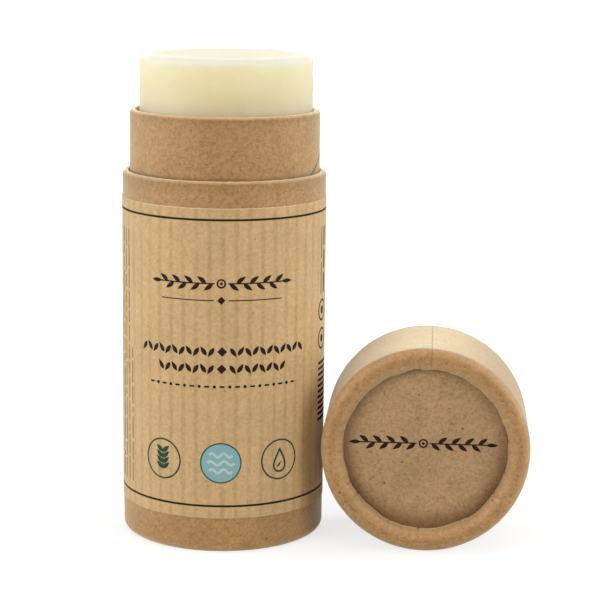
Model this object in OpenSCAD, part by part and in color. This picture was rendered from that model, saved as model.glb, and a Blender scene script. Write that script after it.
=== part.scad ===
// Push-up deodorant stick in a wound kraft-board tube, with its cap taken off
// and lying on its side next to it. Millimetres, +Z up, origin on the tube's
// axis at the level it stands on. The front of the label faces -Y.

/* [Outer tube] */
// Outer diameter of the tube
tube_d = 38; // [34:0.5:44]
// Height of the outer tube, from the surface it stands on to its shoulder
tube_h = 68.8; // [50:0.2:90]
// Board thickness of the outer tube and of the cap
outer_wall = 1.2; // [0.9:0.05:1.6]

/* [Inner tube] */
// Board thickness of the inner tube
inner_wall = 1.2; // [1:0.05:1.6]
// Gap for glue round the inner tube
board_gap = 0.1; // [0.05:0.01:0.25]
// Height of the neck that stands out of the outer tube
neck_h = 11.3; // [8:0.1:14]

/* [Rolled rim] */
// Inside radius of the bend where the board rolls inward
rim_bend = 0.4; // [0.3:0.05:0.55]
// Depth from the crown of the rim to the cut edge of the turned-in board
rim_depth = 2.8; // [2.2:0.1:4.5]

/* [Cut edges] */
// Rounding of the outer corner of a tube's cut edge
edge_out = 0.7; // [0.2:0.05:0.9]
// Rounding of the inner corner of a tube's cut edge
edge_in = 0.25; // [0.1:0.05:0.4]

/* [Label] */
// Thickness of the label paper
label_t = 0.12; // [0.08:0.01:0.25]
// Glue under the label
label_glue = 0.02; // [0.01:0.01:0.04]
// Height of the label's lower edge above the surface
label_low = 6.7; // [4.5:0.1:12]
// Bare board left between the label's upper edge and the shoulder
label_top_margin = 4.7; // [2:0.1:10]
// Length of label that laps over its own start, at the back
label_lap = 5; // [2:0.5:12]

/* [Deodorant block] */
// Gap between the block and the inner tube
block_gap = 0.35; // [0.25:0.05:0.8]
// Length of the block
block_l = 64; // [45:1:68]
// How far the block stands out above the neck, as it is shown
block_out = 10.2; // [2:0.1:14]
// Rounding of the block's top edge
block_edge = 1.2; // [0.3:0.1:3]

/* [Push piece] */
// Running gap between the push ring and the inner tube
push_gap = 0.15; // [0.1:0.01:0.3]
// Height of the push ring
push_h = 8; // [5:0.5:12]
// Board thickness of the push ring
push_wall = 1.2; // [0.9:0.05:1.6]
// Thickness of the disc that closes the push ring
push_disc_t = 1.5; // [1:0.1:2.5]
// Glue gap round the discs of the push ring and of the cap
disc_gap = 0.05; // [0.02:0.01:0.12]

/* [Cap] */
// Clearance all round between the cap's bore and the neck
cap_fit = 0.3; // [0.1:0.05:0.6]
// Length of the cap from its rolled rim to its mouth
cap_l = 22.6; // [18:0.1:32]
// Thickness of the disc that closes the cap
cap_disc_t = 1.5; // [1:0.1:2.5]
// Turn of the lying cap about the vertical, its closed end to the front
cap_turn = 6.4; // [0:0.2:30]
// How far the closed end lies in front of the tube's axis
cap_forward = 14.4; // [8:0.1:20]
// Space between the lying cap and the label
cap_space = 0.3; // [0.3:0.1:12]

/* [Hidden] */
$fn = 144;

kraft = "#b08a5c";
kraft_label = "#c39a6b";
cream = "#f1e7c4";
eps = 0.01;

// Radii, from the outside of the tube inwards
tube_r = tube_d / 2;
shell_ir = tube_r - outer_wall;
neck_or = shell_ir - board_gap;
neck_ir = neck_or - inner_wall;
block_r = neck_ir - block_gap;
push_r = neck_ir - push_gap;
push_ir = push_r - push_wall;

// The cap is bored to slide over the neck
cap_ir = neck_or + cap_fit;
cap_r = cap_ir + outer_wall;

// Rolled rim: the board bends twice round the foot of the inner tube, and the
// cap's rim is rolled to the same width
rim_r = outer_wall + rim_bend;
roll_gap = inner_wall + 2 * board_gap;

// Heights of the assembled tube
neck_top = tube_h + neck_h;
block_top = neck_top + block_out;
block_foot = block_top - block_l;
push_foot = block_foot - push_h;
label_h = tube_h - label_top_margin - label_low;

// Label
label_ir = tube_r + label_glue;
label_or = label_ir + label_t;
lap_or = label_or + label_t;
lap_angle = label_lap / label_or * 180 / PI;

// Resting place of the cap: a line along its axis, beside the tube
cap_side = lap_or + cap_space + cap_r;
cap_x = cap_side * cos(cap_turn) - cap_forward * sin(cap_turn);
cap_y = -cap_side * sin(cap_turn) - cap_forward * cos(cap_turn);

// Half section of a straight wall, from y0 up to its cut edge at y1, with the
// two corners of that edge rounded as far as the wall w allows
module board_wall(x0, w, y0, y1) {
    eo = min(edge_out, 0.6 * w);
    ei = min(edge_in, 0.3 * w);
    translate([x0, y0]) square([w, y1 - y0 - eo]);
    translate([x0, y0]) square([w - eo, y1 - y0 - ei]);
    translate([x0 + ei, y0]) square([w - ei - eo, y1 - y0]);
    translate([x0 + w - eo, y1 - eo]) intersection() {
        circle(r = eo);
        square(eo);
    }
    translate([x0 + ei, y1 - ei]) intersection() {
        circle(r = ei);
        translate([-ei, 0]) square(ei);
    }
}

// A quarter of a ring of board, bent round a centre at [cx, cy]. side is 1 for
// the outer quarter and -1 for the inner one.
module board_bend(cx, cy, side) {
    translate([cx, cy]) intersection() {
        difference() {
            circle(r = rim_r);
            circle(r = rim_bend);
        }
        translate([side > 0 ? 0 : -rim_r, -rim_r]) square(rim_r);
    }
}

// Half section of a tube of inner radius ir and length l whose lower end is
// rolled inward: the wall, the outer bend, the flat crown, the inner bend and
// the turned-in lip.
module rolled_section(ir, l) {
    lip_or = ir - roll_gap;
    bend_out_c = ir - rim_bend;
    bend_in_c = lip_or + rim_bend;
    union() {
        board_wall(ir, outer_wall, rim_r, l);
        board_bend(bend_out_c, rim_r, 1);
        translate([bend_in_c, 0]) square([bend_out_c - bend_in_c, outer_wall]);
        board_bend(bend_in_c, rim_r, -1);
        translate([lip_or - outer_wall, rim_r])
            square([outer_wall, rim_depth - rim_r]);
    }
}

// A plain ring of inner radius ri and outer radius ro, from z0 up by h
module ring(ri, ro, z0, h) {
    translate([0, 0, z0]) difference() {
        cylinder(r = ro, h = h);
        translate([0, 0, -eps]) cylinder(r = ri, h = h + 2 * eps);
    }
}

// Moves what stands on the origin, rim down, to where the cap lies
module lay_cap() {
    translate([cap_x, cap_y, cap_r])
        rotate([0, 0, -cap_turn])
            rotate([-90, 0, 0])
                children();
}

// Wound board tube, its lower end rolled inward into the rim it stands on
module outer_tube() {
    color(kraft) rotate_extrude() rolled_section(shell_ir, tube_h);
}

// Tube glued inside the outer one: its foot stands in the rolled rim and its
// upper end is the neck that the cap slides over
module inner_tube() {
    color(kraft) rotate_extrude() union() board_wall(neck_ir, inner_wall, rim_r, neck_top);
}

// Paper label wrapped once round the tube, its end lapped over its start
module label() {
    lap_ir = label_or - label_t / 2;
    color(kraft_label) union() {
        ring(label_ir, label_or, label_low, label_h);
        rotate([0, 0, 90 - lap_angle / 2])
            rotate_extrude(angle = lap_angle)
                translate([lap_ir, label_low]) square([lap_or - lap_ir, label_h]);
    }
}

// Cast block of deodorant with a flat top face and its top edge rubbed round
module deodorant_block() {
    flat_r = block_r - block_edge;
    side_h = block_l - block_edge;
    color(cream) translate([0, 0, block_foot]) rotate_extrude() union() {
        square([block_r, side_h]);
        square([flat_r, block_l]);
        translate([flat_r, side_h]) intersection() {
            circle(r = block_edge);
            square(block_edge);
        }
    }
}

// Short tube under the block that is pushed up with a finger
module push_ring() {
    color(kraft) ring(push_ir, push_r, push_foot, push_h);
}

// Disc set flush in the top of the push ring, under the block
module push_disc() {
    color(kraft) translate([0, 0, block_foot - push_disc_t])
        cylinder(r = push_ir - disc_gap, h = push_disc_t);
}

// Cap: a wider tube of the same board, its closed end rolled inward
module cap_tube() {
    color(kraft) lay_cap() rotate_extrude() rolled_section(cap_ir, cap_l);
}

// Disc glued into the cap, against the cut edge of the turned-in lip
module cap_disc() {
    color(kraft) lay_cap() translate([0, 0, rim_depth])
        cylinder(r = cap_ir - disc_gap, h = cap_disc_t);
}

outer_tube();
inner_tube();
label();
deodorant_block();
push_ring();
push_disc();
cap_tube();
cap_disc();
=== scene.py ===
# %% [markdown]
# # A push-up deodorant stick in a kraft board tube
# The stick is a wound board tube that stands on a rolled rim, with a second tube glued
# inside it as the neck, a cream block that a finger pushes up from below, a ribbed paper
# label, and a cap that lies on its side next to it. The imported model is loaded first, and
# it stays as it is: every surface made here is worked out from the sizes of its parts.

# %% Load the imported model
import math

import bpy
import numpy as np
from mathutils import Matrix, Vector


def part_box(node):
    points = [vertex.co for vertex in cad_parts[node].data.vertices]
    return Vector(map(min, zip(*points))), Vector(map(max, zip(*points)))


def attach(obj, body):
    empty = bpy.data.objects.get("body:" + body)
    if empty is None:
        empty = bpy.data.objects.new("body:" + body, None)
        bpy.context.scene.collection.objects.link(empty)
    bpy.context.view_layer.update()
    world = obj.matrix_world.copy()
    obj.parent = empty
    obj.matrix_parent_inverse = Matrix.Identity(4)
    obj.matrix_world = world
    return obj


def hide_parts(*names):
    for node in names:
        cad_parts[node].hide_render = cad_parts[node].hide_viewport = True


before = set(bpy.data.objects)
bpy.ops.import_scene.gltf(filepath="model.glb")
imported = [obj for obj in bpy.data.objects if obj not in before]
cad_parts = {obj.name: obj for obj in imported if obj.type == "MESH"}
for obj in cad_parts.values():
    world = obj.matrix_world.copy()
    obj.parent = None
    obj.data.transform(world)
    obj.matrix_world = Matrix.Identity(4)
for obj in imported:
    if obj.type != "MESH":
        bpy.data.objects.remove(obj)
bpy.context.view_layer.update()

# %% [markdown]
# ## Camera
# A product picture like this one is taken with a long lens from a little above the neck.
# The camera looks down by about 11 degrees, slightly to the right, and is tipped by less
# than one degree. Its axes are written out from those three angles, which is easier to
# follow than a rotation that was found by trial.

# %% Place the camera
EYE = Vector((0.0, -0.367667, 0.115822))
PITCH, YAW, ROLL = (math.radians(a) for a in (11.064, 2.239, 0.658))
LENS = 118.7             # mm, on a film that is 36 mm wide

forward = Vector((math.sin(YAW) * math.cos(PITCH), math.cos(YAW) * math.cos(PITCH), -math.sin(PITCH)))
level = Vector((math.cos(YAW), -math.sin(YAW), 0.0))
above = level.cross(forward)
across = level * math.cos(ROLL) + above * math.sin(ROLL)
upward = above * math.cos(ROLL) - level * math.sin(ROLL)

camera_data = bpy.data.cameras.new("product_camera")
camera_data.lens = LENS
camera_data.sensor_width = 36.0
camera_data.clip_start = 0.01
camera = bpy.data.objects.new("product_camera", camera_data)
camera.matrix_world = Matrix((
    (across.x, upward.x, -forward.x, EYE.x),
    (across.y, upward.y, -forward.y, EYE.y),
    (across.z, upward.z, -forward.z, EYE.z),
    (0.0, 0.0, 0.0, 1.0),
))
bpy.context.scene.collection.objects.link(camera)
bpy.context.scene.camera = camera
bpy.context.scene.view_settings.view_transform = "Standard"
print("lens", camera_data.lens, "mm, looking down", round(math.degrees(PITCH), 1), "degrees")

# %% [markdown]
# ## Materials with less typing
# A material is a small graph of nodes. One helper adds a node, writes plain numbers into
# its inputs and links every input that is given another node's output. The place on a
# piece is read in millimetres, so that a grain of half a millimetre is written as one.

# %% Helpers for materials
def add(tree, kind, inputs=None, **settings):
    """Adds a node of this kind, makes its settings, and fills or links its inputs."""
    node = tree.nodes.new(kind)
    for key, value in settings.items():
        setattr(node, key, value)
    for key, value in (inputs or {}).items():
        if isinstance(value, bpy.types.NodeSocket):
            tree.links.new(value, node.inputs[key])
        else:
            node.inputs[key].default_value = value
    return node


def new_material(name):
    """A named material with an empty graph, and the output node of that graph."""
    material = bpy.data.materials.new(name)
    material.use_nodes = True
    tree = material.node_tree
    tree.nodes.clear()
    return material, tree, tree.nodes.new("ShaderNodeOutputMaterial")


def millimetres(tree, unit=(1.0, 1.0, 1.0), turn=(0.0, 0.0, 0.0)):
    """The place on the piece, turned, and then divided by units given in millimetres."""
    place = add(tree, "ShaderNodeTexCoord")
    return add(tree, "ShaderNodeMapping", {
        "Vector": place.outputs["Object"],
        "Scale": tuple(0.001 * u for u in unit), "Rotation": turn,
    }, vector_type="TEXTURE").outputs["Vector"]


def noise(tree, vector, scale, detail=3.0, roughness=0.55):
    """Soft random clouds between 0 and 1, with about scale of them to a millimetre."""
    return add(tree, "ShaderNodeTexNoise", {
        "Vector": vector, "Scale": scale, "Detail": detail, "Roughness": roughness,
    }).outputs["Fac"]


def ramp(tree, value, low, high, to_low=0.0, to_high=1.0):
    """Carries low..high over to to_low..to_high in a soft S, and holds it beyond them."""
    return add(tree, "ShaderNodeMapRange", {
        "Value": value, "From Min": low, "From Max": high, "To Min": to_low, "To Max": to_high,
    }, interpolation_type="SMOOTHSTEP").outputs["Result"]


def sums(tree, way, first, second):
    """One sum of two values: ADD, SUBTRACT, MULTIPLY, MAXIMUM and so on."""
    return add(tree, "ShaderNodeMath", {0: first, 1: second}, operation=way).outputs[0]


def mix(tree, share, first, second, way="MIX"):
    """Colour first, taken over by colour second as share goes from 0 to 1."""
    node = add(tree, "ShaderNodeMix", data_type="RGBA", blend_type=way)
    for place, value in ((0, share), (6, first), (7, second)):
        if isinstance(value, bpy.types.NodeSocket):
            tree.links.new(value, node.inputs[place])
        else:
            node.inputs[place].default_value = value if place == 0 else (*value, 1.0)
    return node.outputs[2]


def carried(tree, name):
    """A number that the mesh carries at its points, 0 where the mesh has none."""
    return add(tree, "ShaderNodeAttribute", attribute_name=name).outputs["Fac"]

# %% [markdown]
# ## Kraft board
# Kraft board is unbleached wood pulp: a warm brown sheet of tangled fibres, cloudy over a
# few millimetres, grainy over tenths of a millimetre, with short dark and pale fibres and
# a few bark specks. It could be painted from a picture, but clouds and stretched noise in
# three dimensions need no seams and look the same on the wall, the rim and the cut edge.
# Meshes hand over two numbers of their own. The crease number darkens seams and ply lines,
# and paints shade into folds and where the neck leaves the outer tube. The fuzz number makes
# rubbed cut edges paler, and paints highlights on edges and bends that face the lamps. A
# soft warm sheen stands for the fibre ends that stick out.

# %% The board and the paper
def streaks(tree, turn, thin, long, keep):
    """Short fibres: noise that is thin mm across and long mm along, with its peaks kept."""
    stretched = millimetres(tree, (thin, thin, long), turn)
    return ramp(tree, noise(tree, stretched, 0.5, 1.0, 0.4), keep, keep + 0.1)


DARK_FIBRES = ((0.9, 0.2, 0.4), (-0.7, 0.8, 1.3), (1.4, -0.5, 2.0))
PALE_FIBRES = ((0.2, -0.9, 2.2), (1.5, 0.4, -0.6))


def shaded(colour, factor, lift=0.0):
    """A colour times a factor, plus a lift, and never above 1."""
    return tuple(min(1.0, factor * c + lift) for c in colour)


def kraft(name, pale, dark, clouds, specks, finish=None):
    """Unbleached board or paper between two browns, and what a finish adds to the colour."""
    material, tree, output = new_material(name)
    spot = millimetres(tree)
    grain = noise(tree, spot, 1.5, 5.0, 0.70)
    colour = mix(tree, ramp(tree, grain, 0.34, 0.64), dark, pale)
    cloud = ramp(tree, noise(tree, spot, 0.17, 4.0, 0.6), 0.30, 0.70)
    lighter = (1.0 + clouds, 1.0 + 0.9 * clouds, 1.0 + 0.8 * clouds)
    shade = mix(tree, cloud, (1.0 - clouds,) * 3, lighter)
    colour = mix(tree, 1.0, colour, shade, "MULTIPLY")
    freckles = ramp(tree, noise(tree, spot, 1.25, 2.0, 0.5), 0.60, 0.72, 0.0, 0.34 * specks)
    colour = mix(tree, freckles, colour, shaded(dark, 0.50))
    dim = [streaks(tree, turn, 0.17, 1.6, 0.63) for turn in DARK_FIBRES]
    glint = [streaks(tree, turn, 0.15, 1.3, 0.64) for turn in PALE_FIBRES]
    longest = sums(tree, "MAXIMUM", sums(tree, "MAXIMUM", dim[0], dim[1]), dim[2])
    colour = mix(tree, sums(tree, "MULTIPLY", longest, 0.24 * specks), colour, shaded(dark, 0.45))
    glint = sums(tree, "MULTIPLY", sums(tree, "MAXIMUM", *glint), 0.30)
    colour = mix(tree, glint, colour, shaded(pale, 1.25, 0.03))
    cells = add(tree, "ShaderNodeTexVoronoi", {"Vector": spot, "Scale": 0.36, "Randomness": 1.0})
    lot = add(tree, "ShaderNodeSeparateColor", {0: cells.outputs["Color"]}).outputs[0]
    picked = ramp(tree, lot, 0.6, 0.75)
    bark = ramp(tree, cells.outputs["Distance"], 0.04, 0.12, 1.0, 0.0)
    bark = sums(tree, "MULTIPLY", bark, sums(tree, "MULTIPLY", picked, 0.6 * specks))
    colour = mix(tree, bark, colour, shaded(dark, 0.2))
    if finish:
        colour = finish(tree, colour)
    # Painted highlight, with rubbed paleness, from fuzz; painted shade and dark seams from crease.
    fuzz_and_highlight = sums(tree, "MULTIPLY", carried(tree, "fuzz_and_highlight"), 0.95)
    colour = mix(tree, fuzz_and_highlight, colour, shaded(pale, 1.35, 0.13))
    crease_and_shade = sums(tree, "MULTIPLY", carried(tree, "crease_and_shade"), 0.95)
    colour = mix(tree, crease_and_shade, colour, shaded(dark, 0.12))
    duller = 0.14 if finish is ribbed else 0.0
    fibre = add(tree, "ShaderNodeBump", {"Height": grain, "Distance": 0.00004, "Strength": 0.4})
    board = add(tree, "ShaderNodeBsdfPrincipled", {
        "Base Color": colour, "Normal": fibre.outputs["Normal"],
        "Roughness": ramp(tree, grain, 0.3, 0.7, 0.51 + duller, 0.41 + duller),
        "Specular IOR Level": 0.26 - duller,
        "Sheen Weight": 0.82, "Sheen Roughness": 0.5, "Sheen Tint": (1.0, 0.89, 0.58, 1.0),
    })
    tree.links.new(board.outputs[0], output.inputs["Surface"])
    return material


RIBS = 49                # pressed lines round the label
RIB_START = -0.6         # degrees from the front to the first pressed line
PRINTED_R = 19.14        # radius of the label's face


def ribbed(tree, colour):
    """Ribbed kraft: round the label, each pressed line is a little darker than the broad
    band next to it. The line's place is the remainder of the arc over the ribs' pitch, with
    the arc counted from a hundred pitches to the left, so that it is never negative."""
    arc_and_height = add(tree, "ShaderNodeUVMap", uv_map="wrap").outputs[0]
    along = add(tree, "ShaderNodeSeparateXYZ", {0: arc_and_height}).outputs[0]
    pitch = 2 * math.pi * PRINTED_R / RIBS
    start = math.radians(RIB_START) * PRINTED_R - 100 * pitch
    spot = millimetres(tree, (1.0, 1.0, 3.0))
    ragged = sums(tree, "MULTIPLY", sums(tree, "SUBTRACT", noise(tree, spot, 1.1, 3.0), 0.5), 0.28)
    turns = sums(tree, "DIVIDE", sums(tree, "SUBTRACT", along, start), pitch)
    turns = sums(tree, "ADD", turns, ragged)
    share = add(tree, "ShaderNodeMath", {0: turns}, operation="FRACT").outputs[0]
    aside = sums(tree, "ABSOLUTE", sums(tree, "SUBTRACT", share, 0.5), 0.0)
    pressed = ramp(tree, aside, 0.26, 0.42)
    strength = ramp(tree, noise(tree, millimetres(tree, (1.0, 1.0, 2.5)), 0.25, 2.0), 0.3, 0.7, 0.45, 1.0)
    pressed = sums(tree, "MULTIPLY", pressed, strength)
    return mix(tree, pressed, colour, mix(tree, 1.0, colour, (0.85, 0.825, 0.79), "MULTIPLY"))


board_finish = kraft("wound_kraft_board", (0.500, 0.274, 0.103), (0.355, 0.187, 0.066), 0.10, 1.3)
label_finish = kraft("ribbed_kraft_paper", (0.695, 0.464, 0.228), (0.590, 0.386, 0.181), 0.05, 0.6, ribbed)
print("board and paper finishes made")

# %% [markdown]
# ## Deodorant
# The block is butter and wax, cast soft and set hard. Light goes a little way into it, so
# it gets some subsurface scattering, a satin skin, and a faint cloudiness from the way it
# set. The mesh hands over a number called skin: 0 on the side, 0.55 in a pale band along
# the top edge, which is a painted highlight, and 1 in the middle of the top, whose duller
# tone is painted shade that keeps the light from above from washing it out.

# %% The cream
def cream(name):
    """Cast cream: two close yellows in clouds, then the pale band of painted highlight, then
    the top's duller tone of painted shade, each taken over by the one after it as skin grows."""
    material, tree, output = new_material(name)
    spot = millimetres(tree)
    cloud = noise(tree, spot, 0.13, 4.0, 0.6)
    fine = noise(tree, spot, 0.9, 4.0, 0.6)
    colour = mix(tree, ramp(tree, cloud, 0.34, 0.66), (0.850, 0.700, 0.428), (0.890, 0.745, 0.480))
    colour = mix(tree, ramp(tree, fine, 0.5, 0.75, 0.0, 0.35), colour, (0.87, 0.74, 0.50))
    # Painted highlight in the band along the top edge, then painted shade in the middle of the top.
    skin = carried(tree, "skin")
    colour = mix(tree, ramp(tree, skin, 0.0, 0.55), colour, (0.90, 0.83, 0.64))
    colour = mix(tree, ramp(tree, skin, 0.55, 1.0), colour, (0.800, 0.730, 0.505))
    height = sums(tree, "ADD", cloud, sums(tree, "MULTIPLY", fine, 0.3))
    bump = add(tree, "ShaderNodeBump", {"Height": height, "Distance": 0.0002, "Strength": 0.3})
    wax = add(tree, "ShaderNodeBsdfPrincipled", {
        "Base Color": colour, "Normal": bump.outputs["Normal"],
        "Roughness": ramp(tree, fine, 0.3, 0.7, 0.50, 0.60),
        "Specular IOR Level": 0.18, "Subsurface Weight": 1.0,
        "Subsurface Radius": (1.0, 0.8, 0.5), "Subsurface Scale": 0.026,
    })
    tree.links.new(wax.outputs[0], output.inputs["Surface"])
    return material


cream_finish = cream("cast_cream")
print("cream made")

# %% [markdown]
# ## Inks
# Print on kraft paper soaks in: the black is a very dark brown, and the paper's grain
# shows through a little. One function makes all the inks from their colour.

# %% The inks
def ink(name, colour, cover=0.92):
    """Printing ink of one colour, worn thin in the paper's finest grain."""
    material, tree, output = new_material(name)
    spot = millimetres(tree)
    worn = ramp(tree, noise(tree, spot, 2.6, 4.0, 0.7), 0.52, 0.80, 0.0, 1.0 - cover)
    tone = mix(tree, worn, colour, (0.50, 0.34, 0.16))
    bump = add(tree, "ShaderNodeBump", {
        "Height": noise(tree, spot, 1.5, 6.0, 0.7), "Distance": 0.00003, "Strength": 0.3})
    film = add(tree, "ShaderNodeBsdfPrincipled", {
        "Base Color": tone, "Normal": bump.outputs["Normal"],
        "Roughness": ramp(tree, worn, 0.0, 0.3, 0.55, 0.65), "Specular IOR Level": 0.08,
    })
    tree.links.new(film.outputs[0], output.inputs["Surface"])
    return material


INKS = {
    "black": ink("black_ink", (0.018, 0.011, 0.007)),
    "grey": ink("grey_ink", (0.14, 0.11, 0.08), 0.7),
    "green": ink("green_ink", (0.022, 0.070, 0.042)),
    "blue": ink("blue_ink", (0.27, 0.47, 0.48)),
    "pale": ink("pale_ink", (0.52, 0.64, 0.62)),
}
print("inks:", ", ".join(INKS))

# %% [markdown]
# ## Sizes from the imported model
# Each size below is read from a part's box or from its points, so that a piece made here
# fits the part that it stands for. Only the bends and roundings, which a box doesn't
# show, are named as numbers. Everything from here on is in millimetres.

# %% Read the sizes
def corners(part):
    """Lowest and highest corner of a part, in millimetres."""
    low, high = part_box(part)
    return np.array(low) * 1000.0, np.array(high) * 1000.0


def measured(part):
    """Inner and outer radius, foot and top of an upright part, in millimetres."""
    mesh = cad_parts[part].data
    points = np.empty(3 * len(mesh.vertices))
    mesh.vertices.foreach_get("co", points)
    away = np.hypot(points[0::3], points[1::3]) * 1000.0
    low, high = corners(part)
    return away.min(), away.max(), low[2], high[2]


BEND = 0.4               # inside radius of the rolled rim
EDGE_OUT, EDGE_IN = 0.7, 0.25
RIM_DEPTH = 2.8          # from the crown of a rim to the end of its lip
CAP_TURN = math.radians(6.4)
CAP_BACK = 0.002         # the cap is set back by this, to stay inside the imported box
BLOCK_PLAY = 0.03        # the block is slimmer by this than its part

LIP_R, TUBE_R, _, TUBE_H = measured("outer_tube")
RIM_W = TUBE_R - LIP_R
NECK_IN, NECK_R, NECK_FOOT, NECK_TOP = measured("inner_tube")
WALL = NECK_FOOT - BEND
_, BLOCK_R, BLOCK_FOOT, BLOCK_TOP = measured("deodorant_block")
BLOCK_R -= BLOCK_PLAY
LABEL_IN, LAP_OUT, LABEL_FOOT, LABEL_TOP = measured("label")
PAPER = (LAP_OUT - LABEL_IN) / 2
LABEL_R = LABEL_IN + PAPER

cap_axis = np.array([math.sin(CAP_TURN), math.cos(CAP_TURN), 0.0])
cap_side = np.array([math.cos(CAP_TURN), -math.sin(CAP_TURN), 0.0])
low, high = corners("cap_disc")
disc_r = (high[2] - low[2]) / 2
disc_t = (high[1] - low[1] - 2 * disc_r * math.sin(CAP_TURN)) / math.cos(CAP_TURN)
CAP_FRONT = (low + high) / 2 - (RIM_DEPTH + disc_t / 2 - CAP_BACK) * cap_axis
low, high = corners("cap_tube")
CAP_R = (high[2] - low[2]) / 2
rounded_off = (WALL + BEND + EDGE_OUT) * (math.cos(CAP_TURN) + math.sin(CAP_TURN) - 1)
CAP_L = (high[1] - low[1] - 2 * CAP_R * math.sin(CAP_TURN) + rounded_off) / math.cos(CAP_TURN)
print("tube", TUBE_R.round(2), TUBE_H.round(2), "wall", round(WALL, 2))
print("neck", NECK_R.round(2), NECK_TOP.round(2))
print("block", BLOCK_R.round(2), BLOCK_FOOT.round(2), BLOCK_TOP.round(2), "label", LABEL_R.round(2))
print("cap", CAP_R.round(2), "front", CAP_FRONT.round(2), "length", round(CAP_L, 2), "disc", round(disc_t, 2))

# %% [markdown]
# ## Surfaces from formulas
# A tube is a section carried round an axis. The section is a closed line of points
# (radius, height), walked so that the board lies to the left: then the faces that join
# one point's circle to the next one's look outwards by themselves. Straight stretches and
# arcs are joined end to end. The same small grid of numbers serves for the points, for
# the relief that is pressed into them, and for the numbers that the materials read.

# %% Helpers for sections and grids
def straight(start, end, step):
    """Evenly spaced points from start up to end, which itself is left to the next stretch."""
    start, end = np.array(start, float), np.array(end, float)
    count = max(1, int(np.ceil(np.linalg.norm(end - start) / step)))
    return start + (end - start) * (np.arange(count) / count)[:, None]


def arc(centre, radius, first, last, count):
    """Points on a circle: centre plus radius times (cosine, sine), from first to last degrees,
    without the last one."""
    angle = np.radians(first + (last - first) * np.arange(count) / count)
    return np.array(centre, float) + radius * np.column_stack((np.cos(angle), np.sin(angle)))


def outward(section):
    """Unit normals of a closed section: the step from the point before to the point after,
    turned a quarter clockwise."""
    step = np.roll(section, -1, 0) - np.roll(section, 1, 0)
    normal = np.column_stack((step[:, 1], -step[:, 0]))
    return normal / np.maximum(np.linalg.norm(normal, axis=1, keepdims=True), 1e-9)


def joined(parts):
    """Joins stretches end to end, each given with some numbers: the points of them all, and
    for each number an array that says it point by point."""
    counts = [len(part[0]) for part in parts]
    numbers = np.repeat(np.array([part[1:] for part in parts], float), counts, 0)
    return np.concatenate([part[0] for part in parts]), *numbers.T


def pressed_in(section, normal, press):
    """Radius and height all over a grid: the section's own, less its normal times press."""
    return section[:, :1] - normal[:, :1] * press, section[:, 1:] - normal[:, 1:] * press


def apart(angle, place):
    """How far angle is past place, the short way round: from minus to plus half a turn."""
    return (angle - place + np.pi) % (2 * np.pi) - np.pi


def angles(count, seam=None):
    """count even angles round the axis, and a few more on both sides of a seam."""
    even = np.arange(count) * 2 * np.pi / count
    if seam is None:
        return even
    near = np.radians(seam + np.array([-1.8, -1.5, -1.2, -0.9, -0.6, -0.3, -0.2, -0.1, 0,
                                       0.1, 0.2, 0.3, 0.6, 0.9, 1.2, 1.5, 1.8]))
    clear = np.abs(apart(even, np.radians(seam))) > np.radians(2.1)
    return np.sort(np.concatenate((even[clear], near % (2 * np.pi))))


def wave(angle, seed, low, high, count=14):
    """A wandering line round the axis between 0 and 1: cosines of whole frequencies from low
    to high with random phases, added and squeezed."""
    random = np.random.default_rng(seed)
    pace, phase = random.integers(low, high + 1, count), random.uniform(0, 2 * np.pi, count)
    total = np.cos(angle[..., None] * pace + phase).sum(-1) / math.sqrt(count / 2)
    return 0.5 + 0.5 * np.tanh(0.8 * total)


def nicks(angle, seed, count, width):
    """Small folds at uneven places round the axis: the highest of bell curves of the angle,
    width wide in degrees, each with its own depth up to 1."""
    random = np.random.default_rng(seed)
    place = (np.arange(count) + random.uniform(-0.38, 0.38, count)) * 2 * np.pi / count
    depth, spread = random.uniform(0.25, 1.0, count), np.radians(width) * random.uniform(0.7, 1.6, count)
    return (depth * np.exp(-(apart(angle[..., None], place) / spread) ** 2)).max(-1)


def new_piece(name, points, faces, material, body, part=None, smooth=True):
    """Puts points in millimetres and lists of faces into a mesh, and lets it ride on a body."""
    mesh = bpy.data.meshes.new(name)
    mesh.from_pydata((points * 0.001).tolist(), [], faces)
    mesh.materials.append(material)
    mesh.polygons.foreach_set("use_smooth", [smooth] * len(mesh.polygons))
    mesh.update()
    piece = bpy.data.objects.new(name, mesh)
    bpy.context.scene.collection.objects.link(piece)
    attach(piece, body)
    if part:
        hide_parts(part)
    return piece


def carry(piece, name, values):
    """Hands a number per point over to the material."""
    numbers = piece.data.attributes.new(name, "FLOAT", "POINT")
    numbers.data.foreach_set("value", np.ravel(values).astype(np.float32))


def ring_faces(rows, columns):
    """Four-sided faces of a grid that closes both round the axis and along its section."""
    index = np.arange(rows * columns).reshape(rows, columns)
    right, up = np.roll(index, -1, 1), np.roll(index, -1, 0)
    return np.stack((index, right, np.roll(up, -1, 1), up), -1).reshape(-1, 4).tolist()


def around(radius, height, angle):
    """Points round the upright axis. Angle 0 is the front, and it grows to the right."""
    return np.stack((radius * np.sin(angle), -radius * np.cos(angle), height), -1)

# %% [markdown]
# ## The rolled board section
# The outer tube and the cap are the same board. At one end it is cut, with its corners
# rubbed round. At the other end a machine rolls it inward: an outer bend, a flat crown,
# an inner bend, and a short lip that points back into the tube. Lathe work with sharp
# corners would look like plastic, so every corner is an arc with several points.

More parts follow.
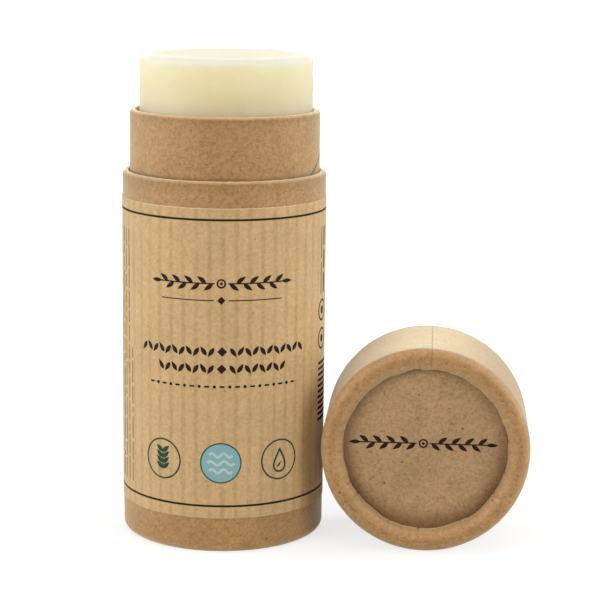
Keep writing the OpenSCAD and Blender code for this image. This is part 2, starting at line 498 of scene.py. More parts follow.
# %% Section of a tube with one rolled end
def rolled_section(full, length):
    """The section of a tube of this radius and length as points (radius, height), and for
    each point what it belongs to: skin is 1 on the outer ply, rim runs over the inner bend
    and lip, cut is 1 on the cut edge."""
    shell, lip_in = full - WALL, full - RIM_W
    turn = WALL + BEND
    lip_out = lip_in + WALL
    outer, inner = shell - BEND, lip_out + BEND
    nose = 0.25
    parts = [
        (straight((full, turn), (full, length - EDGE_OUT), 2.0), 1, 0, 0),
        (arc((full - EDGE_OUT, length - EDGE_OUT), EDGE_OUT, 0, 90, 9), 1, 0, 1),
        (straight((full - EDGE_OUT, length), (shell + EDGE_IN, length), 0.05), 0, 0, 1),
        (arc((shell + EDGE_IN, length - EDGE_IN), EDGE_IN, 90, 180, 6), 0, 0, 1),
        (straight((shell, length - EDGE_IN), (shell, turn), 4.0), 0, 0, 0),
        (arc((outer, turn), BEND, 0, -90, 5), 0, 0, 0),
        (straight((outer, WALL), (inner, WALL), 0.4), 0, 0, 0),
        (arc((inner, turn), BEND, 270, 180, 5), 0, 0, 0),
        (straight((lip_out, turn), (lip_out, RIM_DEPTH - nose), 0.5), 0, 0, 0),
        (arc((lip_out - nose, RIM_DEPTH - nose), nose, 0, 90, 4), 0, 1, 0),
        (straight((lip_out - nose, RIM_DEPTH), (lip_in + nose, RIM_DEPTH), 0.4), 0, 1, 0),
        (arc((lip_in + nose, RIM_DEPTH - nose), nose, 90, 180, 4), 1, 1, 0),
        (straight((lip_in, RIM_DEPTH - nose), (lip_in, turn), 0.25), 1, 1, 0),
        (arc((inner, turn), turn, 180, 270, 16), 1, 1, 0),
        (straight((inner, 0), (outer, 0), 0.2), 1, 0, 0),
        (arc((outer, turn), turn, 270, 360, 16), 1, 0, 0),
    ]
    section, skin, rim, cut = joined(parts)
    bend = np.clip((inner - section[:, 0]) / turn, 0, 1)
    return section, skin, rim * bend, cut


SEAM_HALF = 0.07         # half width of the seam, where it is a third as deep
RIM_DRAWN_IN = 0.36      # how far the rim's inner edge is drawn towards the axis
PLY = 0.3                # thickness of one ply


def ply_lines(cut, section, full):
    """Plies on a cut edge: a cosine of the depth under the outside, one wave to a ply."""
    return cut * (0.5 + 0.5 * np.cos(2 * np.pi * (section[:, 0] - full) / PLY))


def rubbed_and_lit_edge(cut, normal, angle, seed, more=0.0):
    """Pale where a cut edge's normal points along the axis, unevenly round it, plus more: rubbed board is
    paler, and on the standing tubes the part that faces up is a painted highlight from the lamp above.
    """
    rubbed = cut * np.clip(1.6 * normal[:, 1] - 0.6, 0, 1) + more
    return np.outer(rubbed, 0.65 + 0.35 * wave(angle, seed, 3, 90))


def board_tube(name, full, length, seam, seed, place, body, part):
    """Carries the rolled section round its axis. Pressed inwards along its normals are the
    seam of the outer ply, folds and fine gathers on the rim's inner bend, and a slow waver."""
    section, skin, rim, cut = rolled_section(full, length)
    normal = outward(section)
    angle = angles(690, seam)
    slit = np.exp(-(apart(angle, math.radians(seam)) * full / SEAM_HALF) ** 2)
    folds = nicks(angle, seed, 26, 0.7)
    gathers = wave(angle, seed + 4, 80, 240, 40)
    waver = wave(angle, seed + 1, 2, 26)
    # Painted highlight on the outer bend, where the wall turns into the rolled rim.
    bend_highlight = skin * np.clip(2 * np.abs(normal[:, 0]) * -normal[:, 1], 0, 1)
    plies = ply_lines(cut, section, full)
    press = (0.07 * skin[:, None] * slit + 0.16 * np.outer(rim, folds) + 0.015 * np.outer(rim, gathers)
             + 0.26 * np.outer(rim, waver) + 0.05 * np.outer(cut, wave(angle, seed + 2, 4, 60)))
    radius, height = pressed_in(section, normal, press)
    radius = radius - RIM_DRAWN_IN * rim[:, None]
    points = place(around(radius, height, np.broadcast_to(angle, radius.shape)))
    piece = new_piece(name, points.reshape(-1, 3), ring_faces(*radius.shape), board_finish,
                      body, part)
    # The seam is a dark joint and the ply lines are real; the darkening in folds and gathers is painted
    # shade.
    carry(piece, "crease_and_shade", np.maximum(0.50 * skin[:, None] * slit, 0.35 * np.outer(rim, folds))
          + 0.22 * plies[:, None] * np.ones_like(slit) + 0.08 * np.outer(rim, gathers ** 2))
    carry(piece, "fuzz_and_highlight", rubbed_and_lit_edge(cut, normal, angle, seed + 3, 0.32 * bend_highlight))
    print(name, len(piece.data.polygons), "faces")

# %% [markdown]
# ## Outer tube
# It stands upright, so its own axis is the model's. Its seam is at the back, where such
# tubes are turned so that the label hides most of it.

# %% Make the outer tube
BACK_SEAM = 158.0        # degrees right of the front
board_tube("outer_tube_board", TUBE_R, TUBE_H, BACK_SEAM, 11, lambda p: p, "tube", "outer_tube")

# %% [markdown]
# ## Cap
# The cap is the same section cut short. It lies on its side with its rolled end to the
# front, so its crown faces the camera. Its points are made upright and then laid down:
# what was up along its axis now points away from the camera, what was the front is on
# top. The seam runs along the top of the wall and over the rim.

# %% Make the cap
CAP_SEAM = 2.4           # degrees right of the cap's highest line
UP = np.array([0.0, 0.0, 1.0])


def laid_down(points):
    """From an upright cap to the lying one: its own x along cap_side, its height along
    cap_axis, and its own front, which is minus y, up."""
    return (CAP_FRONT + points[..., :1] * cap_side + points[..., 2:] * cap_axis
            - points[..., 1:2] * UP)


board_tube("cap_board", CAP_R, CAP_L, CAP_SEAM, 29, laid_down, "tube", "cap_tube")

# %% [markdown]
# ## Discs
# The discs are cut from a greyer, flatter board. The cap's disc is pressed against the
# turned-in lip, and where the lip shades it a darker ring is painted in as shade, widest at
# the foot. The ring needs no drawing: it is the distance from a line just above the cap's own
# axis, read from the place on the piece after a turn and a shift to that line.

# %% Finish the discs
GREY_BOARD = ((0.505, 0.312, 0.155), (0.385, 0.229, 0.106), 0.08, 1.5)
# The ring of painted shade is centred this far above the cap's axis.
RING_RISE = 1.2          # how far above the cap's axis the brown ring is centred


def refinish(part, finish):
    """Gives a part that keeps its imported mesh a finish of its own."""
    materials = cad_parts[part].data.materials
    materials.clear()
    materials.append(finish)


def shaded_ring(tree, colour):
    """Painted shade: darker as the distance from the ring's centre, made uneven by noise, nears the lip."""
    centre = CAP_FRONT + RING_RISE * UP
    place = add(tree, "ShaderNodeTexCoord").outputs["Object"]
    seen = add(tree, "ShaderNodeMapping", {
        "Vector": place, "Location": tuple(0.001 * centre), "Rotation": (0.0, 0.0, -CAP_TURN),
        "Scale": (0.001,) * 3}, vector_type="TEXTURE").outputs["Vector"]
    flat = add(tree, "ShaderNodeVectorMath", {0: seen, 1: (1.0, 0.0, 1.0)}, operation="MULTIPLY").outputs[0]
    away = add(tree, "ShaderNodeVectorMath", {0: flat}, operation="LENGTH").outputs["Value"]
    uneven = sums(tree, "MULTIPLY", sums(tree, "SUBTRACT", noise(tree, millimetres(tree), 0.3), 0.5), 1.6)
    return mix(tree, ramp(tree, sums(tree, "ADD", away, uneven), 12.2, 16.3), colour,
               mix(tree, 1.0, colour, (0.44, 0.35, 0.25), "MULTIPLY"))


# The cap's disc gets the ring of painted shade; the push disc stays plain.
disc_finish = kraft("grey_kraft_board", *GREY_BOARD, shaded_ring)
plain_disc_finish = kraft("plain_grey_kraft_board", *GREY_BOARD)
refinish("cap_disc", disc_finish)
print("disc finishes made")

# %% [markdown]
# ## Inner tube
# The neck is wound from a strip that runs round it like the thread of a screw, so its
# seam climbs to the right. If the grid's columns stood upright, such a seam would cut
# across them in steps. They are slanted along the seam instead: the angle of each column
# grows with the height. Where the neck leaves the outer tube, shade is painted into its
# colour: the darkening is strongest there and fades upwards.

# %% Make the inner tube
SEAM_RISE = 0.56         # height gained for each millimetre round the neck
SEAM_FOOT = 63.4         # degrees right of the front, where it leaves the outer tube
NECK_SHIFT = 0.06        # the neck leans on the right side of its glue gap
NECK_SEAM_HALF = 0.50    # half width of its seam, where it is a third as deep


def neck_section():
    """A plain wall with both corners of its top edge rounded, and finer rows at the shoulder.
    skin is 1 all over but under the foot, and cut is 1 on the cut edge."""
    parts = [
        (straight((NECK_R, NECK_FOOT), (NECK_R, TUBE_H - 1), 1.5), 1, 0),
        (straight((NECK_R, TUBE_H - 1), (NECK_R, TUBE_H + 4), 0.25), 1, 0),
        (straight((NECK_R, TUBE_H + 4), (NECK_R, NECK_TOP - EDGE_OUT), 1.0), 1, 0),
        (arc((NECK_R - EDGE_OUT, NECK_TOP - EDGE_OUT), EDGE_OUT, 0, 90, 10), 1, 1),
        (straight((NECK_R - EDGE_OUT, NECK_TOP), (NECK_IN + EDGE_IN, NECK_TOP), 0.04), 1, 1),
        (arc((NECK_IN + EDGE_IN, NECK_TOP - EDGE_IN), EDGE_IN, 90, 180, 6), 1, 1),
        (straight((NECK_IN, NECK_TOP - EDGE_IN), (NECK_IN, NECK_FOOT), 1.5), 1, 0),
        (straight((NECK_IN, NECK_FOOT), (NECK_R, NECK_FOOT), 0.4), 0, 0),
    ]
    return joined(parts)


section, skin, cut = neck_section()
normal = outward(section)
angle = angles(432, SEAM_FOOT)
slit = np.exp(-(apart(angle, math.radians(SEAM_FOOT)) * NECK_R / NECK_SEAM_HALF) ** 4)
plies = ply_lines(cut, section, NECK_R)
press = 0.16 * np.outer(skin, slit) + 0.07 * np.outer(cut, wave(angle, 5, 3, 40))
radius, height = pressed_in(section, normal, press)
slanted = angle + (height - TUBE_H) / (SEAM_RISE * NECK_R)
points = around(radius, height, slanted).reshape(-1, 3) + (NECK_SHIFT, 0, 0)
inner_tube = new_piece("neck_board", points, ring_faces(*radius.shape), board_finish,
                       "tube", "inner_tube")
# Painted shade where the neck leaves the outer tube.
over_shoulder = np.maximum(section[:, 1] - TUBE_H, 0)
shoulder_shade = 0.42 * np.exp(-(over_shoulder / 0.45) ** 2) + 0.14 * np.exp(-over_shoulder / 1.6)
dark = np.maximum(np.outer(skin, slit), (normal[:, 0] * shoulder_shade)[:, None] + 0.22 * plies[:, None])
carry(inner_tube, "crease_and_shade", np.clip(dark, 0, 1))
carry(inner_tube, "fuzz_and_highlight", rubbed_and_lit_edge(cut, normal, angle, 6))
print("neck", len(inner_tube.data.polygons), "faces")

# %% [markdown]
# ## Deodorant block
# A cast block is never a perfect cylinder: the top edge is rubbed more here than there,
# and the face on top is slightly uneven. The section starts and ends on the axis, and
# each end is closed with a single point and a fan of triangles.

# %% Make the block
BLOCK_EDGE = 1.2         # rounding of its top edge
OFF_CENTRE = 0.28        # the block leans on the right side of its gap
FINE = 12                # length of side under the edge that gets finer rows
POLE = 0.5               # radius of the last ring before the point that closes an end
SIDE, TOP = 2, 4         # places of the finer side and of the top face in parts
shoulder, flat_r = BLOCK_TOP - BLOCK_EDGE, BLOCK_R - BLOCK_EDGE
parts = [
    straight((POLE, BLOCK_FOOT), (BLOCK_R, BLOCK_FOOT), 2.5),
    straight((BLOCK_R, BLOCK_FOOT), (BLOCK_R, shoulder - FINE), 6.0),
    straight((BLOCK_R, shoulder - FINE), (BLOCK_R, shoulder), 0.6),
    arc((flat_r, shoulder), BLOCK_EDGE, 0, 90, 12),
    straight((flat_r, BLOCK_TOP), (POLE, BLOCK_TOP), 0.6),
]
section = np.concatenate(parts)
belongs = np.repeat(np.arange(len(parts)), [len(part) for part in parts])
angle = angles(288)
rubbed = wave(angle, 21, 1, 17)
near_rim = np.exp(-((section[:, 0] - BLOCK_R + 0.5) / 0.9) ** 2)
near_top = np.exp(-((section[:, 1] - BLOCK_TOP + 0.3) / 0.8) ** 2)
on_edge = near_rim * near_top
on_top = np.where(belongs == TOP, 1.0, 0.0)
on_side = np.where(belongs == SIDE, 1.0, 0.0)
normal = outward(section)
normal[belongs == TOP] = (0.0, 1.0)
to_right, to_back = section[:, :1] * np.sin(angle), -section[:, :1] * np.cos(angle)
swell = (0.5 + 0.25 * np.cos(0.42 * to_right + 1.1 * np.sin(0.31 * to_back))
         + 0.25 * np.cos(0.55 * to_back - 0.23 * to_right))
press = (0.20 * np.outer(on_edge, rubbed) + 0.08 * on_top[:, None] * swell
         + 0.05 * np.outer(on_side, wave(angle, 22, 2, 9)))
radius, height = pressed_in(section, normal, press)
rows, columns = radius.shape
rings = around(radius, height, np.broadcast_to(angle, radius.shape)).reshape(-1, 3)
foot_point, top_point = rows * columns, rows * columns + 1
points = np.vstack((rings, (0, 0, BLOCK_FOOT), (0, 0, height[-1].mean()))) + (OFF_CENTRE, 0, 0)
column = np.arange(columns)
after = np.roll(column, -1)
last = (rows - 1) * columns
faces = ring_faces(rows, columns)[:last]
faces += np.stack((np.full(columns, foot_point), after, column), -1).tolist()
faces += np.stack((last + column, last + after, np.full(columns, top_point)), -1).tolist()
block = new_piece("cream_block", points, faces, cream_finish, "stick", "deodorant_block")
# skin: a painted highlight band along the top edge, and painted shade in the middle of the top.
below = BLOCK_TOP + 0.3 * (1 - wave(angle, 23, 3, 30)) - section[:, 1:2]
edge_highlight = 0.55 * np.clip(1 - below / 2.4, 0, 1) ** 1.3 * (belongs >= SIDE)[:, None]
inward = on_top * np.clip((flat_r - section[:, 0]) / 4.0, 0, 1)
skin = edge_highlight + (1 - edge_highlight) * inward[:, None]
carry(block, "skin", np.append(skin, (0.0, 1.0)))
print("block", len(block.data.polygons), "faces")

# %% [markdown]
# ## Push ring and push disc
# A short board tube and a disc carry the block and take the push of a finger. They are
# plain turned shapes deep inside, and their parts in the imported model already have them,
# so they keep their meshes. The ring gets the tubes' finish and the disc the grey one.

# %% Finish the push pieces
refinish("push_ring", board_finish)
refinish("push_disc", plain_disc_finish)
print("push pieces from", corners("push_ring")[0][2].round(1), "to", corners("push_ring")[1][2].round(1))

# %% [markdown]
# ## Label
# The label is one strip of ribbed kraft paper wrapped once round the tube, and its end
# lies over its start at the back. It is a grid in two measures, the arc round the tube
# and the height. The radius of its face is the tube's, plus the paper, plus a second
# paper where the lap is, less the depth of the pressed lines. A Solidify modifier then
# gives the sheet its thickness towards the tube.

# %% Make the label
LAP_LENGTH = 5.0         # paper that lies over its own start
LAP = math.degrees(LAP_LENGTH / LABEL_R) / 2
LAP_RAMP = 3.5           # degrees over which the paper climbs onto its start
FACE_DOWN = 0.022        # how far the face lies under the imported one
RIB_DEPTH = 0.034        # depth of a pressed line
RELIEF = 0.062           # what the relief takes from the paper's thickness
INSET = 0.04             # a row this close to an edge keeps it crisp


def label_face(arc_mm, height_mm):
    """Radius of the printed face where the arc from the front is arc_mm: the outer radius,
    plus one paper after the ramp before the lap, less the pressed lines' depth."""
    turned = np.degrees(arc_mm / LABEL_R)
    ramp_up = np.clip((turned - (180 - LAP - LAP_RAMP)) / LAP_RAMP, 0, 1)
    lap = PAPER * ramp_up ** 2 * (3 - 2 * ramp_up)
    pitch = 360.0 / RIBS
    aside = np.abs((turned - RIB_START + pitch / 2) % pitch - pitch / 2) / pitch
    pressed = np.exp(-(aside / 0.15) ** 4)
    uneven = 0.75 + 0.25 * np.cos(0.7 * height_mm + 3 * np.sin(1.7 * turned))
    return LABEL_R - FACE_DOWN + lap - RIB_DEPTH * pressed * uneven


def on_label(flat, lift):
    """Carries flat points (arc, height) onto the label's face, lift millimetres above it."""
    return around(label_face(flat[..., 0], flat[..., 1]) + lift, flat[..., 1], flat[..., 0] / LABEL_R)


def grid_faces(rows, columns):
    """Four-sided faces of an open grid."""
    index = np.arange(rows * columns).reshape(rows, columns)
    quads = np.stack((index[:-1, :-1], index[:-1, 1:], index[1:, 1:], index[1:, :-1]), -1)
    return quads.reshape(-1, 4).tolist()


def thicken(piece, thickness):
    """Gives an open sheet its thickness, away from the side that it faces."""
    solid = piece.modifiers.new("thickness", "SOLIDIFY")
    solid.thickness, solid.offset = thickness * 0.001, -1.0


end_arc = math.radians(180 + LAP) * LABEL_R
inner_arcs = np.linspace(-end_arc, end_arc, 620)[1:-1]
arcs = np.concatenate(([-end_arc, -end_arc + INSET], inner_arcs, [end_arc - INSET, end_arc]))
inner_heights = np.linspace(LABEL_FOOT, LABEL_TOP, 66)[1:-1]
heights = np.concatenate(([LABEL_FOOT, LABEL_FOOT + INSET], inner_heights,
                          [LABEL_TOP - 0.2, LABEL_TOP - INSET, LABEL_TOP]))
flat = np.stack(np.meshgrid(arcs, heights), -1)
label = new_piece("ribbed_label", on_label(flat, 0.0).reshape(-1, 3),
                  grid_faces(len(heights), len(arcs)), label_finish, "tube", "label")
# Painted highlight along the label's top edge.
carry(label, "fuzz_and_highlight", np.where(flat[..., 1] > LABEL_TOP - 0.1, 0.55, 0.0))
wrap = label.data.uv_layers.new(name="wrap")
order = np.empty(len(label.data.loops), int)
label.data.loops.foreach_get("vertex_index", order)
wrap.data.foreach_set("uv", flat.reshape(-1, 2)[order].astype(np.float32).ravel())
thicken(label, PAPER - RELIEF)
print("label", len(label.data.polygons), "faces, lap", round(2 * LAP, 1), "degrees")

# %% [markdown]
# ## Print
# The print is plain and generic: two border lines, a leafy ornament, broken lines in the
# place of writing, and three round badges. Each shape is a stroke, which is a path with a
# width at each of its points. A leaf is a stroke that swells and thins, a disc is a
# stroke as wide as a circle's chord, and a ring is a closed one. Strokes lie on a grid
# fine enough to follow the paper's ribs, and each lies a hair above the one before it.

# %% Strokes and shapes
def stroke(path, half, closed=False):
    """Points from minus half to plus half along the path's left-hand normal."""
    path = np.asarray(path, float)
    if closed:
        step = np.roll(path, -1, 0) - np.roll(path, 1, 0)
    else:
        step = np.gradient(path, axis=0)
    step /= np.linalg.norm(step, axis=1, keepdims=True)
    left = np.column_stack((-step[:, 1], step[:, 0]))
    half = np.broadcast_to(np.asarray(half, float), len(path))
    count = max(2, int(np.ceil(2 * half.max() / 0.4)) + 1)
    return path[:, None] + (left * half[:, None])[:, None] * np.linspace(1, -1, count)[None, :, None], closed


def bar(x0, x1, y, half):
    """A straight level bar with round ends: where the distance to an end, as a share d of
    half, is under 1, the half width is half times the root of 1 minus (1 minus d) squared."""
    rounding = half * (1 - np.cos(np.linspace(0, np.pi / 2, 6)))
    even = np.linspace(x0, x1, max(2, int((x1 - x0) / 0.3) + 1))
    x = np.unique(np.concatenate((even, x0 + rounding, x1 - rounding)))
    d = np.clip(np.minimum(x - x0, x1 - x) / half, 0.0, 1.0)
    half_width = half * np.sqrt(np.clip(1 - (1 - d) ** 2, 0.02, 1))
    return stroke(np.column_stack((x, np.full(len(x), y))), half_width)


def oval(x, y, rx, ry):
    """A filled oval: chords of half length ry times the sine, at rx times the cosine."""
    t = np.linspace(np.pi, 0, 41)
    path = np.column_stack((x + rx * np.cos(t), np.full(41, y)))
    return stroke(path, np.maximum(ry * np.sin(t), 0.01))


def lozenge(x, y, rx, ry):
    """A filled lozenge: its half height falls evenly from ry to nothing at rx."""
    t = np.linspace(-1, 1, 17)
    return stroke(np.column_stack((x + rx * t, np.full(17, y))), np.maximum(ry * (1 - np.abs(t)), 0.01))


def loop(x, y, rx, ry, half):
    """An oval line of even width, closed."""
    t = np.linspace(0, 2 * np.pi, 96, endpoint=False)
    return stroke(np.column_stack((x + rx * np.cos(t), y + ry * np.sin(t))), half, True)


def leaf(x, y, lean, length, half, bend=0.0):
    """A leaf that grows from (x, y) at lean degrees: its half width is half times the sine
    of pi times the share of its length to the power 0.8, and it turns by bend on its way."""
    t = np.linspace(0, 1, 21)
    turn = np.radians(lean + bend * (t - 0.3))
    step = np.column_stack((np.cos(turn), np.sin(turn))) * length / 20
    path = np.array([x, y]) + np.cumsum(step, 0) - step[0]
    return stroke(path, np.maximum(half * np.sin(np.pi * t ** 0.8), 0.012))


def sprig(x, y, reach, size):
    """A generic ornament: two mirrored twigs that leave a small ring, with leaves by turns
    above and below, and one at the tip."""
    shapes = [loop(x, y, 0.75 * size, 0.75 * size, 0.17 * size), oval(x, y, 0.28 * size, 0.28 * size)]
    gap = 1.30 * size
    count = int((reach - 5.0 * size) / gap) + 1
    for way in (1, -1):
        ends = sorted((x + way * 1.25 * size, x + way * (reach - 2.0 * size)))
        shapes.append(bar(*ends, y, 0.13 * size))
        for k in range(count):
            side = 1 if k % 2 else -1
            lean = 40 * side if way > 0 else 180 - 40 * side
            foot = x + way * (1.6 * size + k * gap)
            shapes.append(leaf(foot, y, lean, 2.25 * size, 0.42 * size, -14 * side * way))
        shapes.append(leaf(x + way * (reach - 2.3 * size), y, 90 - 90 * way, 2.3 * size, 0.40 * size))
    return shapes


SHORTEST, LONGEST, SPACE = 0.9, 4.6, 0.55


def broken_line(x0, x1, half, seed):
    """Bars of uneven length in a row, as a stand-in for a line of writing. One that would
    leave less than a shortest bar and a space before x1 is drawn out to x1."""
    random = np.random.default_rng(seed)
    shapes, x = [], x0
    while x < x1 - SHORTEST:
        end = min(x + random.uniform(SHORTEST, LONGEST), x1)
        if x1 - end <= SHORTEST + SPACE:
            end = x1
        shapes.append(bar(x, end, 0.0, half))
        x = end + SPACE
    return shapes


def upright(shapes, x):
    """Turns shapes drawn along a level line by a quarter to the left, and moves them to x."""
    return [(np.stack((x - points[..., 1], points[..., 0]), -1), closed) for points, closed in shapes]


def print_shapes(name, shapes, colour, carrier=on_label, lift=0.010):
    """Joins strokes into one piece of print, carries it onto its paper and thickens it."""
    points, faces, start = [], [], 0
    for number, (grid, closed) in enumerate(shapes):
        if closed:
            grid = np.concatenate((grid, grid[:1]))
        rows, columns = grid.shape[:2]
        flipped = grid[:, ::-1]
        points.append(carrier(flipped, lift + 0.0015 * (number % 5)).reshape(-1, 3))
        quads = np.array(grid_faces(rows, columns))[:, ::-1]
        if closed:
            wrapped = quads >= (rows - 1) * columns
            quads[wrapped] -= (rows - 1) * columns
            points[-1] = points[-1][:-columns]
            rows -= 1
        faces += (quads + start).tolist()
        start += rows * columns
    piece = new_piece(name, np.vstack(points), faces, INKS[colour], "tube", smooth=False)
    thicken(piece, 0.012)
    print(name, len(shapes), "shapes,", len(faces), "faces")

# %% [markdown]
# ## What the label shows
# The places follow a usual layout: an ornament as the heading, a fine rule under it, and
# two bold rows of leaves and a dotted one in the middle, between two lines that run all
# round.

# %% Print the label
MIDDLE = -0.5            # arc at which the print is centred
SPRIG_REACH, SPRIG_SIZE = 13.8, 0.95
BORDERS = (62.0, 9.05)
HEADING_Y, RULE_Y, WIDE_Y, SHORT_Y, DOTS_Y = 50.5, 47.4, 38.0, 34.8, 31.5


def ruled(y):
    """A thin line all round the label, from one end of the lap to the other."""
    x = np.linspace(-end_arc + 2 * math.radians(LAP) * LABEL_R + 0.03, end_arc - 0.02, 900)
    return stroke(np.column_stack((x, np.full(900, y))), 0.20)


def herringbone(x, y, reach, size, lean):
    """A row of small leaves about a middle lozenge: one at every step of 0.68 of a size on
    both sides, tipped by turns up and down, and all of them pointing outwards."""
    shapes = [lozenge(x, y, 0.44 * size, 0.44 * size)]
    for way in (1, -1):
        for k in range(int((reach - 1.5 * size) / (0.68 * size)) + 1):
            tip = lean if k % 2 else -lean
            start = x + way * (0.72 + 0.68 * k) * size
            shapes.append(leaf(start, y - 0.34 * size * math.copysign(1, tip), tip if way > 0 else 180 - tip,
                               0.98 * size, 0.20 * size))
    return shapes


print_shapes("border_lines", [ruled(y) for y in BORDERS], "black")
print_shapes("heading_ornament", sprig(MIDDLE, HEADING_Y, SPRIG_REACH, SPRIG_SIZE), "black")
rule = [bar(-12.0, -1.8, RULE_Y, 0.10), bar(0.8, 11.0, RULE_Y, 0.10),
        lozenge(MIDDLE, RULE_Y, 0.75, 0.75)]
print_shapes("fine_rule", rule, "black")
print_shapes("wide_row", herringbone(-0.3, WIDE_Y, 17.4, 2.05, 56), "black")
print_shapes("short_row", herringbone(-0.4, SHORT_Y, 13.4, 2.05, 56), "black")
dots = []
for k in range(-10, 11):
    if k % 2:
        dots.append(oval(-0.3 + 1.4 * k, DOTS_Y, 0.30, 0.30))
    else:
        dots.append(bar(-0.8 + 1.4 * k, 0.2 + 1.4 * k, DOTS_Y, 0.17))
print_shapes("dotted_row", dots, "black")

# %% [markdown]
# ## Badges
# Three round badges stand near the foot: a twig, waves on a blue field, and a drop. The
# field is printed first, and its waves and its edge lie a hair above it.

# %% Print the badges
BADGE_Y, BADGE_R, BADGE_LINE = 17.2, 3.7, 0.16
TWIG_X, DROP_X = -11.9, 10.9
wide = np.linspace(-2.5, 2.5, 31)
twig = [leaf(TWIG_X, BADGE_Y - 2.3, 90, 4.7, 0.16)]
for k in range(4):
    for side in (1, -1):
        twig.append(leaf(TWIG_X, BADGE_Y - 1.9 + 1.05 * k, 90 + side * 48, 1.9, 0.42))
print_shapes("twig_badge", [loop(TWIG_X, BADGE_Y, BADGE_R, BADGE_R, BADGE_LINE), *twig], "green")
print_shapes("blue_badge_field", [oval(MIDDLE, BADGE_Y, BADGE_R, BADGE_R)], "blue", lift=0.016)
print_shapes("blue_badge_waves", [
    stroke(np.column_stack((MIDDLE + wide * s, BADGE_Y + y + 0.38 * np.sin(2.5 * wide))), 0.24)
    for y, s in ((1.5, 0.85), (0.0, 1.0), (-1.5, 0.85))], "pale", lift=0.024)
print_shapes("blue_badge_edge", [loop(MIDDLE, BADGE_Y, BADGE_R, BADGE_R, 0.12)], "green", lift=0.024)
t = np.linspace(0, 2 * np.pi, 72, endpoint=False)
drop = np.column_stack((DROP_X + 1.75 * np.sin(t) * np.sin(t / 2) ** 1.5,
                        BADGE_Y - 0.15 + 2.15 * np.cos(t)))
print_shapes("drop_badge", [loop(DROP_X, BADGE_Y, BADGE_R, BADGE_R, BADGE_LINE),
                            stroke(drop, 0.19, True),
                            leaf(10.2, BADGE_Y - 1.35, 35, 1.5, 0.20, 60)], "green")

# %% [markdown]
# ## Small print
# Columns of broken lines stand for fine writing, on the left side and on the right of the
# back. Each column has a seed of its own, so it comes out the same every time. On the
# right side stand bars, rings and a ladder of lines.

# %% Print the small print
PRINT_FOOT, PRINT_TOP, FIRST_TOP = 11.0, 58.6, 36.6
MARKS_X = 24.3
places = [(-20.7 - 1.5 * k, 40 + k) for k in range(10)] + [(38.0 + 1.5 * k, 60 + k) for k in range(6)]
small_print = []
for number, (x, seed) in enumerate(places):
    top = PRINT_TOP if number else FIRST_TOP
    small_print += upright(broken_line(PRINT_FOOT, top, 0.14, seed), x)
print_shapes("small_print", small_print, "grey")
side_marks = upright([bar(55.2, 59.0, -0.9, 0.42), bar(50.8, 54.6, -0.9, 0.42),
                      bar(46.4, 50.2, -0.9, 0.42), bar(53.0, 59.0, 0.9, 0.16),
                      bar(46.4, 52.4, 0.9, 0.16)], 24.4)
for y in (43.2, 37.8):
    side_marks += [loop(MARKS_X, y, 1.9, 1.9, 0.20), oval(MARKS_X, y, 0.8, 0.8)]
side_marks += [bar(22.4, 33.3, y, 0.27) for y in np.arange(22.4, 33.8, 1.08)]
print_shapes("side_marks", side_marks, "black")

# %% [markdown]
# ## Ornament on the cap
# The cap's recessed disc carries the same leafy ornament, printed flat. Here the carrier
# is a plane: across the disc, up, and a hair in front of its face.

# %% Print the cap
def on_disc(flat, lift):
    """Carries flat points (across, up) onto the front of the cap's disc."""
    face = CAP_FRONT + (RIM_DEPTH - lift) * cap_axis
    return face + flat[..., :1] * cap_side + flat[..., 1:] * UP


print_shapes("cap_ornament", sprig(-0.4, 0.9, SPRIG_REACH, SPRIG_SIZE), "black", on_disc)

# %% [markdown]
# ## Floor and background
# The floor is a matt disc that keeps the shadow. A glow that is left out of the lighting
# turns it white, and it is weaker near the stick, where the shadow lies. The world is
# white in the same way, and adds next to nothing to the light on the object.

# %% Floor and world
def seen_directly(tree):
    """1 for rays from the camera, off a gloss or through glass, 0 for the lighting itself."""
    path = add(tree, "ShaderNodeLightPath")
    seen = sums(tree, "MAXIMUM", path.outputs["Is Camera Ray"], path.outputs["Is Glossy Ray"])
    return sums(tree, "MAXIMUM", seen, path.outputs["Is Transmission Ray"])


floor_finish, tree, output = new_material("white_sweep")
place = add(tree, "ShaderNodeTexCoord").outputs["Object"]
away = add(tree, "ShaderNodeVectorMath", {0: place}, operation="LENGTH").outputs["Value"]
chalk = add(tree, "ShaderNodeBsdfDiffuse", {"Color": (0.42, 0.42, 0.42, 1.0)})
strength = sums(tree, "MULTIPLY", seen_directly(tree), ramp(tree, away, 0.04, 0.30, 0.71, 1.0))
glow = add(tree, "ShaderNodeEmission", {"Color": (1, 1, 1, 1), "Strength": strength})
both = add(tree, "ShaderNodeAddShader", {0: chalk.outputs[0], 1: glow.outputs[0]})
tree.links.new(both.outputs[0], output.inputs["Surface"])

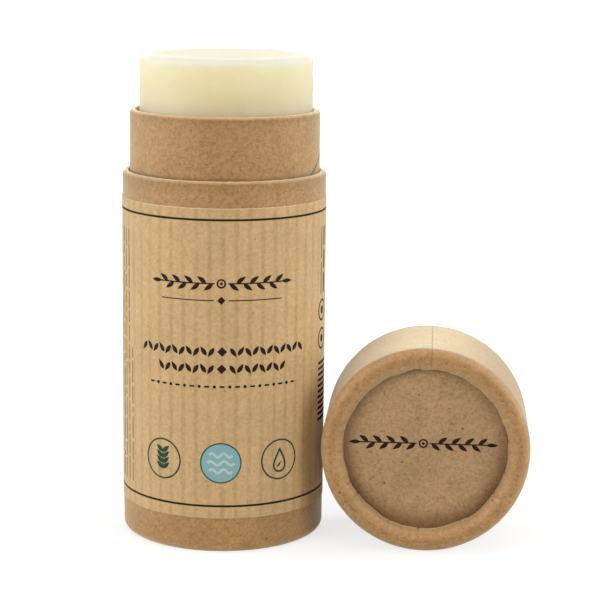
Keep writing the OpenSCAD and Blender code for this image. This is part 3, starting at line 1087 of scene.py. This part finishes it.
FLOOR_R = 6              # metres
turn = np.linspace(0, 2 * np.pi, 64, endpoint=False)
rim_points = np.column_stack((FLOOR_R * np.cos(turn), FLOOR_R * np.sin(turn), np.full(64, 0.0)))
floor_mesh = bpy.data.meshes.new("sweep")
floor_mesh.from_pydata(rim_points.tolist(), [], [list(range(64))])
floor_mesh.materials.append(floor_finish)
sweep = bpy.data.objects.new("sweep", floor_mesh)
bpy.context.scene.collection.objects.link(sweep)

world = bpy.data.worlds.new("studio")
world.use_nodes = True
bpy.context.scene.world = world
tree = world.node_tree
tree.nodes.clear()
sky = add(tree, "ShaderNodeBackground", {
    "Color": (1, 1, 1, 1), "Strength": ramp(tree, seen_directly(tree), 0.0, 1.0, 0.06, 1.0)})
tree.links.new(sky.outputs[0], add(tree, "ShaderNodeOutputWorld").inputs["Surface"])
print("floor and world made")

# %% [markdown]
# ## Lamps
# Big soft boxes give no shadow a hard edge. One hangs above, a low wide one stands behind,
# one at each side, one at each side of the camera, and a weak one over the camera.

# %% Place the lamps
AIM = Vector((0.012, 0.0, 0.045))
LAMPS = (                # name, place, width, height, power
    ("lamp_above", (0.0, 0.15, 0.92), 0.9, 0.7, 2.8),
    ("lamp_behind", (0.10, 0.95, 0.36), 1.3, 0.4, 3.5),
    ("lamp_left", (-0.84, 0.10, 0.20), 0.4, 0.6, 3.8),
    ("lamp_right", (0.86, 0.10, 0.28), 0.4, 0.6, 3.3),
    ("lamp_front_left", (-0.80, -0.66, 0.38), 0.6, 0.6, 5.5),
    ("lamp_front_right", (0.82, -0.66, 0.40), 0.6, 0.6, 5.1),
    ("lamp_front", (0.0, -1.05, 0.42), 0.5, 0.4, 1.2),
)


def softbox(name, where, width, height, power):
    """A rectangular lamp of width by height metres that looks at the point AIM."""
    lamp = bpy.data.lights.new(name, "AREA")
    lamp.shape, lamp.size, lamp.size_y, lamp.energy = "RECTANGLE", width, height, power
    holder = bpy.data.objects.new(name, lamp)
    holder.location = where
    holder.rotation_euler = (AIM - Vector(where)).to_track_quat("-Z", "Y").to_euler()
    bpy.context.scene.collection.objects.link(holder)


for lamp in LAMPS:
    softbox(*lamp)
print(len(LAMPS), "lamps")
